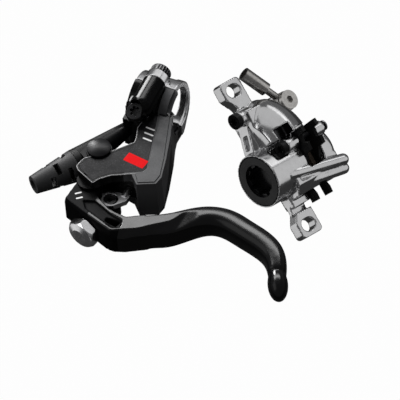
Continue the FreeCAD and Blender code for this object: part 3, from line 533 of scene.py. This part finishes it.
# Hose outlet: a moulded rubber boot with relief slots over the sleeve nut. The olive and the barb
# that grip the hose are turned brass.
boot_black = surface("boot_black", (0.02, 0.02, 0.021), rough=0.52, grain=0.1, scale=1500.0)
dress(boot_black, "hose_boot")
gunmetal = surface("gunmetal", (0.5, 0.488, 0.47), metal=1.0, rough=0.28, mottle=0.1, bevel=0.0)
dress(gunmetal, "sleeve_nut", "banjo_bolt", "banjo_fitting")
turned_brass = surface("turned_brass", (0.72, 0.55, 0.28), metal=1.0, rough=0.3)
dress(turned_brass, "olive", "hose_barb")

# Blade: forged aluminium under a satin black coat, which is matt in the pocket and on the root. Its
# finger part is ground round, and it turns on two polymer bushes. Two plain bars are printed on it.
blade_black = surface("blade_black", (0.0024, 0.0024, 0.0028), rough=0.22, rough_swing=0.02,
                      scale=700.0, shine=0.42, bevel=0.0)
pocket_top_z, pocket_end_x, root_end_x = 0.0004, 0.0156, -0.0025
matt_rough, matt_shine = 0.5, 0.08
t = blade_black.node_tree
spot = t.nodes.new("ShaderNodeSeparateXYZ")
t.links.new(place_on(blade_black), spot.inputs[0])
x, _, z = spot.outputs
pocket = calc(t, "MULTIPLY", calc(t, "LESS_THAN", z, pocket_top_z),
              calc(t, "LESS_THAN", x, pocket_end_x))
matt = calc(t, "MAXIMUM", pocket, calc(t, "LESS_THAN", x, root_end_x))
overlay(blade_black, "Roughness", matt, matt_rough)
overlay(blade_black, "Specular IOR Level", matt, matt_shine)
slope_from_x, finger_from_x, finger_run = 0.008, 0.038, 0.016


def finger_share(vertex):
    """How much a point belongs to what is ground round: all sloping faces, and the finger part."""
    if vertex.co.x > slope_from_x and 0.2 < vertex.normal.z < 0.95:
        return 1.0
    return min(1.0, max(0.0, (vertex.co.x - finger_from_x) / finger_run))


softened("lever_blade", "blade_forging", 0.00038, 4, blade_black, "blade",
         finger_share, 60)
root_top = 0.0008
for name, cx, cy in (("root_bar_one", -12.2, -66.0), ("root_bar_two", -10.4, -68.6)):
    printed_bar(name, print_white, cx, cy, 1.7, 0.45, 38.0, root_top, "blade")
polymer = surface("bush_polymer", (0.1, 0.09, 0.08), rough=0.4)
dress(polymer, "pivot_bushes")

# Reach adjuster: a six-sided domed knob of satin aluminium on a steel spindle, which turns in the
# blade's black steel trunnion.
satin_alloy = surface("satin_alloy", (0.8, 0.8, 0.81), metal=1.0, rough=0.24, mottle=0.05,
                      bevel=0.0)
softened("adjuster_knob", "knob_turned", 0.00016, 2, satin_alloy, "adjuster")

# Caliper: one aluminium forging, polished and plated, with its ears, two ribs and pin lugs in one
# piece. The edges are run together, as polishing leaves them. The notch in the dome is dark with
# painted shade, for the shade inside the recess: it is a box in the caliper's own frame, so its
# middle and half size are given along three axes.
chrome = surface("polished_chrome", (0.62, 0.62, 0.625), metal=1.0, rough=0.17, mottle=0.03,
                 rough_swing=0.03, scale=300.0, bevel=0.0)
caliper_origin = Vector((0.0442, 0.0276, -0.0504))
along = Vector((0.6794, -0.4158, -0.6044)).normalized()
across = Vector((0.3116, 0.9094, -0.2753)).normalized()
notch_painted_shade = (0.05, 0.05, 0.052, 1)
t = chrome.node_tree
sides = []
for axis, middle, half in ((along, -0.0079, 0.0030), (across, 0.0034, 0.0041),
                           (along.cross(across), 0.0150, 0.0058)):
    reached = t.nodes.new("ShaderNodeVectorMath")
    reached.operation = "DOT_PRODUCT"
    reached.inputs[1].default_value = axis
    t.links.new(place_on(chrome), reached.inputs[0])
    sides.append(calc(t, "COMPARE", reached.outputs["Value"], axis.dot(caliper_origin) + middle,
                      half))
notch = calc(t, "MULTIPLY", calc(t, "MULTIPLY", sides[0], sides[1]), sides[2])
# The notch's dark colour is painted shade, for the shade inside the recess.
overlay(chrome, "Base Color", notch, notch_painted_shade)
softened("caliper_body", "caliper_forging", 0.00045, 4, chrome, "fixed")
cap_black = surface("cap_black", (0.008, 0.008, 0.009), rough=0.24, shine=0.2)
dress(cap_black, "cylinder_cap")

# Pads and hose fitting: black coated steel plates with sintered linings hang on the pad pin. The
# fitting is gunmetal, with black washers.
pad_black = surface("pad_black", (0.009, 0.009, 0.009), rough=0.5, grain=0.1)
dress(pad_black, "outer_pad_plate", "inner_pad_plate", "banjo_washers")
lining = surface("sintered_lining", (0.12, 0.1, 0.085), metal=0.3, rough=0.7, grain=0.5,
                 scale=2500.0, second=(0.3, 0.24, 0.18))
dress(lining, "outer_pad_lining", "inner_pad_lining")

# Lamp groups: each piece goes to the lamps that light it. The boot and the bleed screw are black
# but would sink into their surroundings, so both groups of lamps light them.
polished = {"hoop_forging", "knob_turned", "caliper_forging", "banjo_fitting", "banjo_bolt",
            "cylinder_cap", "push_rod"}
in_both = {"hose_boot", "bleed_screw"}
for piece in scene.objects:
    if piece.type == "MESH" and piece != table:
        names = {piece.name} | {key for key, held in nodes.items() if held == piece}
        if names & (polished | in_both):
            polished_pieces.objects.link(piece)
        if not names & polished:
            dark_pieces.objects.link(piece)
